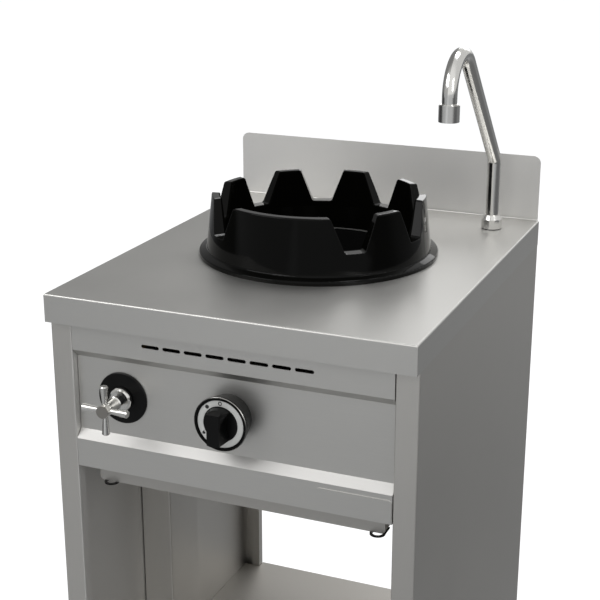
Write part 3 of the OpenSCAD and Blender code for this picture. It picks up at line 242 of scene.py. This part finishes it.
def ring_enamel():
    """Vitreous enamel on cast iron: wet-looking black glass that ran a little before it set,
    which leaves soft upright waves in what it mirrors. Inside the ring the flame burnt it matt.
    The level tops of the teeth and notches get a stronger coat reflection: a painted highlight."""
    made = new_material("black_vitreous_enamel", "#050504", 0.0, 0.08, IOR=1.1, Coat_Weight=1.0,
                        Coat_Roughness=0.02, Coat_IOR=glaze_ior)
    bumped(*made, size_mm=24, strength=0.3, depth_mm=1.0, low=0.05, high=0.1, stretch=(1, 1, 0.08),
           edge_mm=1.2)
    material, tree, shader = made
    out, point = from_axis(tree, "wok_ring", "xy")
    burnt = put(tree, "ShaderNodeMath", LESS, _0=out, _1=burnt_radius_mm * MM)
    # Painted highlight: the level tops of teeth and notches get the higher coat IOR
    level = put(tree, "ShaderNodeMapRange", Value=facing_in(tree)[2], From_Min=0.6, From_Max=0.9)
    raised = put(tree, "ShaderNodeMath", MORE, _0=point[2], _1=ring_tops)
    highlight_tops = put(tree, "ShaderNodeMath", MULTIPLY, _0=level, _1=raised)
    connect(tree, shader,
            Coat_IOR=put(tree, "ShaderNodeMapRange", Value=highlight_tops, To_Min=glaze_ior, To_Max=highlight_ior),
            Coat_Weight=put(tree, "ShaderNodeMapRange", Value=burnt, To_Min=1.0, To_Max=0.0),
            Specular_IOR_Level=put(tree, "ShaderNodeMapRange", Value=burnt, To_Min=1.0, To_Max=0.1))
    return material


def highlighted_bezel():
    """Gloss black drum with a thin pale metal line round its front edge, painted there as the edge's
    highlight.
    """
    material, tree, shader = new_material("gloss_black_bezel", bezel_black, 0.0, 0.26, IOR=1.16)
    out, point = from_axis(tree, "knob_bezel", "xz")
    front_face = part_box("knob_bezel")[0].y
    # Painted highlight: a pale metal line round the drum's front edge
    outer = put(tree, "ShaderNodeMath", MORE, _0=out, _1=highlight_start_mm * MM)
    front = put(tree, "ShaderNodeMath", LESS, _0=point[1], _1=front_face + highlight_depth_mm * MM)
    highlight_line = put(tree, "ShaderNodeMath", MULTIPLY, _0=outer, _1=front)
    tone = put(tree, "ShaderNodeMix", RGBA, Factor=highlight_line, _6=srgb(bezel_black), _7=srgb(bezel_highlight_tone))
    connect(tree, shader, Base_Color=tone.outputs[2], Metallic=highlight_line)
    return material


# The same enamel in the well, burnt matt by the flame
enamel_burnt = bumped(*new_material("burnt_enamel", "#040404", 0.0, 0.75, IOR=1.12),
                      size_mm=5, strength=0.2, depth_mm=0.2, low=0.65, high=0.85)
# Bare iron casting, blackened by heat: coarse sand texture, no shine
iron_cast = bumped(*new_material("heat_blackened_cast_iron", "#2B2A29", 0.5, 0.65),
                   size_mm=1.6, strength=0.35, depth_mm=0.25, low=0.55, high=0.8)
# Phenolic moulding: black, a little sheen, finest moulded grain
moulded_black = bumped(*new_material("moulded_black_phenolic", "#070707", 0.0, 0.3, IOR=1.26),
                       size_mm=0.7, strength=0.05, depth_mm=0.05, low=0.24, high=0.36)
# Chromium on brass: a mirror with a very slight ripple from hand polishing
chrome_plate = bumped(*new_material("bright_chrome_plate", "#DEDDDA", 1.0, 0.14),
                      size_mm=14, strength=0.03, depth_mm=0.2, low=0.12, high=0.17)
# Pale printed face of the dial: flat light grey with a thin clear lacquer
dial_print = bumped(*new_material("pale_printed_dial", "#C0C0BD", 0.0, 0.4, Coat_Weight=0.3,
                                  Coat_Roughness=0.2),
                    size_mm=0.6, strength=0.04, depth_mm=0.03, low=0.36, high=0.46)
# Turned steel disc of the handle's cap: darker than the chrome round it
cap_steel = bumped(*new_material("turned_cap_steel", "#9A9792", 1.0, 0.32),
                   size_mm=1.0, strength=0.05, depth_mm=0.04, low=0.28, high=0.38)
# Plain yellow brass fittings and pipe, dulled by handling
brass_dull = bumped(*new_material("dulled_yellow_brass", "#A98850", 1.0, 0.34),
                    size_mm=11, strength=0.08, depth_mm=0.15, low=0.26, high=0.46)
# Bright zinc on steel fasteners: cool grey, crystalline mottle
zinc_bright = bumped(*new_material("bright_zinc_plate", "#9FA3A6", 1.0, 0.36),
                     size_mm=2.2, strength=0.06, depth_mm=0.05, low=0.28, high=0.46)
# Nitrile washer: matt black with a dusty bloom
nitrile_black = bumped(*new_material("nitrile_rubber", "#141414", 0.0, 0.75),
                       size_mm=1.1, strength=0.1, depth_mm=0.06, low=0.65, high=0.85)
# Screen-printed ink of the dial's marks
ink_black = bumped(*new_material("screen_printed_ink", "#151515", 0.0, 0.6),
                   size_mm=0.5, strength=0.04, depth_mm=0.02, low=0.5, high=0.7)

finishes = {
    "worktop": steel_top, "lower_shelf": steel_mill, "control_panel": steel_front,
    "side_panel_left": steel_left_painted_light, "side_panel_right": steel_upright, "pipe_duct": steel_upright,
    "back_panel": steel_front, "front_rail": steel_front, "rear_rail": steel_front,
    "tray_runner_left": steel_front, "tray_runner_right": steel_front, "drip_tray": steel_tray_painted_shade,
    "burner_bracket": steel_front, "leg_sleeves": steel_upright,
    "foot_front_left": steel_upright, "foot_front_right": steel_upright,
    "foot_back_left": steel_upright, "foot_back_right": steel_upright,
    "worktop_bolts": zinc_bright, "rail_bolts": zinc_bright, "panel_bolts": zinc_bright,
    "leg_bolts": zinc_bright, "well_nuts": zinc_bright, "bracket_bolts": zinc_bright,
    "valve_spindle": zinc_bright,
    "burner_well": enamel_burnt, "wok_ring": ring_enamel(),
    "burner_body": iron_cast, "burner_cap": iron_cast,
    "injector": brass_dull, "burner_feed_pipe": brass_dull, "pilot_burner": brass_dull,
    "pilot_pipe": brass_dull, "thermocouple": brass_dull, "gas_valve": brass_dull,
    "gas_inlet_pipe": brass_dull, "valve_thrust_collar": brass_dull, "water_valve": brass_dull,
    "water_inlet_pipe": brass_dull, "tap_supply_pipe": brass_dull, "tap_locknut": brass_dull,
    "knob_bezel": highlighted_bezel(), "gas_knob": moulded_black, "water_valve_rose": moulded_black,
    "water_spindle": moulded_black, "tray_pulls": moulded_black,
    "dial_ring": dial_print, "name_plate": steel_front, "handle_cap": cap_steel,
    "water_valve_collar": chrome_plate, "cross_handle": chrome_plate, "tap_base": chrome_plate,
    "spout": chrome_plate, "aerator": chrome_plate,
    "tap_seal": nitrile_black,
}


def dress(node, material):
    """Gives a CAD node its finish."""
    data = nodes[node].data
    data.materials.clear()
    data.materials.append(material)
    for face in data.polygons:
        face.material_index = 0


for node, material in finishes.items():
    dress(node, material)


# Dial marks, in mm on the dial's face: x right, z up, from its centre

ink_thickness = 0.12
mark_radius = 27.2
# Turns from the dial's right, counter-clockwise
off_turn, pilot_turn, flame_turn = 90, 131, 212
mark_size = 2.6
off_height = 2.8
off_line = 1.2
flame = [(-1.7, -1.9), (0, -2.6), (1.7, -1.9), (2.2, -0.3), (1.5, 0.9), (1.0, 0.2), (0.5, 2.8),
         (-0.8, 1.2), (-1.5, 0.6), (-2.2, -0.4)]
dial_low, dial_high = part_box("dial_ring")
dial_centre = Vector(((dial_low.x + dial_high.x) / 2, dial_low.y, (dial_low.z + dial_high.z) / 2))


def band(shape, loop, other):
    """Joins two closed loops with as many points by a band of faces."""
    for i in range(len(loop)):
        j = (i + 1) % len(loop)
        shape.faces.new([loop[i], loop[j], other[j], other[i]])


def printed_mark(name, outline, hole=()):
    """A mark of ink, from a closed outline and perhaps a hole in it, raised by its thickness."""
    mesh = bpy.data.meshes.new(name)
    shape = bmesh.new()
    back, front = [[[shape.verts.new(dial_centre + MM * Vector((x, -depth, z))) for x, z in loop]
                    for loop in (outline, hole)] for depth in (0, ink_thickness)]
    band(shape, back[0], front[0])
    band(shape, back[1], front[1])
    for outer, inner in (back, front):
        if inner:
            band(shape, outer, inner)
        else:
            shape.faces.new(outer)
    bmesh.ops.recalc_face_normals(shape, faces=shape.faces)
    shape.to_mesh(mesh)
    shape.free()
    mesh.materials.append(ink_black)
    piece = bpy.data.objects.new(name, mesh)
    bpy.context.scene.collection.objects.link(piece)
    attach(piece, "stand")


def oval(centre, half_width, half_height, count=32):
    """Points of an oval round a centre."""
    turns = [2 * math.pi * i / count for i in range(count)]
    return [(centre[0] + half_width * math.cos(t), centre[1] + half_height * math.sin(t)) for t in turns]


def at_dial(degrees):
    """The place on the marks' circle at a turn."""
    return mark_radius * math.cos(math.radians(degrees)), mark_radius * math.sin(math.radians(degrees))


printed_mark("mark_off", oval(at_dial(off_turn), mark_size, off_height),
             oval(at_dial(off_turn), mark_size - off_line, off_height - off_line))
printed_mark("mark_pilot", oval(at_dial(pilot_turn), mark_size, mark_size))
flame_x, flame_z = at_dial(flame_turn)
printed_mark("mark_flame", [(flame_x + x, flame_z + z) for x, z in flame])


# Studio

def area_lamp(name, place, target, width, height, watts):
    """A white softbox at a place, aimed at a target."""
    data = bpy.data.lights.new(name, "AREA")
    data.shape = "RECTANGLE"
    data.size, data.size_y, data.energy = width, height, watts
    lamp = bpy.data.objects.new(name, data)
    lamp.location = place
    lamp.rotation_mode = "QUATERNION"
    lamp.rotation_quaternion = (Vector(target) - Vector(place)).to_track_quat("-Z", "Y")
    bpy.context.scene.collection.objects.link(lamp)


def ray_kinds(tree):
    """1 for a ray straight from the camera, and 1 for a ray off or through a glossy surface."""
    path = put(tree, "ShaderNodeLightPath").outputs
    gloss = put(tree, "ShaderNodeMath", {"operation": "MAXIMUM"},
                _0=path["Is Glossy Ray"], _1=path["Is Transmission Ray"])
    return path["Is Camera Ray"], gloss


def white_floor():
    """Seamless white paper: clean white to the camera with a soft shadow. Steel sees it as the
    dim grey of a studio floor, with painted shade that falls off towards the right and the far
    left, and painted light that brightens it a little behind the range and far in front of it."""
    mesh = bpy.data.meshes.new("paper_floor")
    half = 40.0
    mesh.from_pydata([(-half, -half, 0), (half, -half, 0), (half, half, 0), (-half, half, 0)], [],
                     [(0, 1, 2, 3)])
    material = bpy.data.materials.new("seamless_white_paper")
    material.use_nodes = True
    tree = material.node_tree
    tree.nodes.clear()
    camera, gloss = ray_kinds(tree)
    where = put(tree, "ShaderNodeTexCoord").outputs["Object"]
    x, y = put(tree, "ShaderNodeSeparateXYZ", _0=where).outputs[:2]
    # Painted shade and painted light in the floor's colour, for reflections only
    right = put(tree, "ShaderNodeMapRange", SMOOTH, Value=x,
                From_Min=-0.3, From_Max=0.9, To_Min=0.39, To_Max=0.18)
    left = put(tree, "ShaderNodeMapRange", SMOOTH, Value=x,
               From_Min=-2.4, From_Max=-1.1, To_Min=0.2, To_Max=1.0)
    behind = put(tree, "ShaderNodeMapRange", SMOOTH, Value=y,
                 From_Min=0.8, From_Max=3.0, To_Min=0.0, To_Max=0.14)
    far = put(tree, "ShaderNodeMapRange", SMOOTH, Value=y,
              From_Min=-1.8, From_Max=-4.0, To_Min=0.0, To_Max=0.6)
    near = put(tree, "ShaderNodeMath", {"operation": "MULTIPLY_ADD"}, _0=right, _1=left, _2=behind)
    seen = put(tree, "ShaderNodeMath", ADD, _0=near, _1=far)
    paper = put(tree, "ShaderNodeMix", {"data_type": "FLOAT"}, Factor=gloss, _2=0.9, _3=seen)
    lit = put(tree, "ShaderNodeBsdfDiffuse", Color=paper)
    white = put(tree, "ShaderNodeEmission", Color=(1, 1, 1, 1), Strength=1.35)
    share = put(tree, "ShaderNodeMath", MULTIPLY, _0=camera, _1=0.55)
    mixed = put(tree, "ShaderNodeMixShader", _0=share, _1=lit, _2=white)
    put(tree, "ShaderNodeOutputMaterial", Surface=mixed)
    mesh.materials.append(material)
    floor = bpy.data.objects.new("paper_floor", mesh)
    bpy.context.scene.collection.objects.link(floor)


def pale_world():
    """White to the camera. In reflections, grey walls that are dimmer at the left and brighter
    in front."""
    world = bpy.data.worlds.new("pale_studio")
    bpy.context.scene.world = world
    world.use_nodes = True
    tree = world.node_tree
    tree.nodes.clear()
    camera, gloss = ray_kinds(tree)
    way = put(tree, "ShaderNodeTexCoord").outputs["Generated"]
    x, y = put(tree, "ShaderNodeSeparateXYZ", _0=way).outputs[:2]
    across = put(tree, "ShaderNodeMapRange", SMOOTH, Value=x,
                 From_Min=-0.5, From_Max=-0.05, To_Min=0.25, To_Max=0.76)
    front = put(tree, "ShaderNodeMapRange", SMOOTH, Value=y,
                From_Min=0.1, From_Max=-0.5, To_Min=0.0, To_Max=0.26)
    walls = put(tree, "ShaderNodeMath", ADD, _0=across, _1=front)
    light = put(tree, "ShaderNodeBackground", Color=srgb("#F2F4F6"), Strength=0.75)
    room = put(tree, "ShaderNodeBackground", Color=srgb("#F6F6F5"), Strength=walls)
    white = put(tree, "ShaderNodeBackground", Color=(1, 1, 1, 1), Strength=1.0)
    unseen = put(tree, "ShaderNodeMixShader", _0=gloss, _1=light, _2=room)
    mixed = put(tree, "ShaderNodeMixShader", _0=camera, _1=unseen, _2=white)
    put(tree, "ShaderNodeOutputWorld", Surface=mixed)


def photo_camera():
    """The photograph's own view, solved from the corners of the worktop, posts and splashback."""
    focal_px, photo_px, sensor_mm = 1331.9, 600, 36
    data = bpy.data.cameras.new("camera")
    data.sensor_width = sensor_mm
    data.lens = focal_px / photo_px * sensor_mm
    data.clip_end = 200
    camera = bpy.data.objects.new("camera", data)
    camera.location = (0.67486, -1.64680, 1.37335)
    camera.rotation_euler = (math.radians(71.75), 0, math.radians(22.72))
    bpy.context.scene.collection.objects.link(camera)
    bpy.context.scene.camera = camera


white_floor()
pale_world()
area_lamp("key_softbox", (-1.6, -1.9, 2.6), (0, 0, 0.8), width=1.8, height=1.4, watts=27)
area_lamp("fill_softbox", (2.4, -1.6, 2.0), (0, 0, 0.7), width=0.8, height=1.2, watts=12)
area_lamp("top_softbox", (0.2, 0.9, 3.0), (0, 0, 0.85), width=1.2, height=0.8, watts=16)
area_lamp("back_card", (-0.1, 3.9, 2.2), (0, 0, 0.9), width=2.2, height=1.6, watts=15)
photo_camera()
bpy.context.scene.view_settings.view_transform = "Standard"
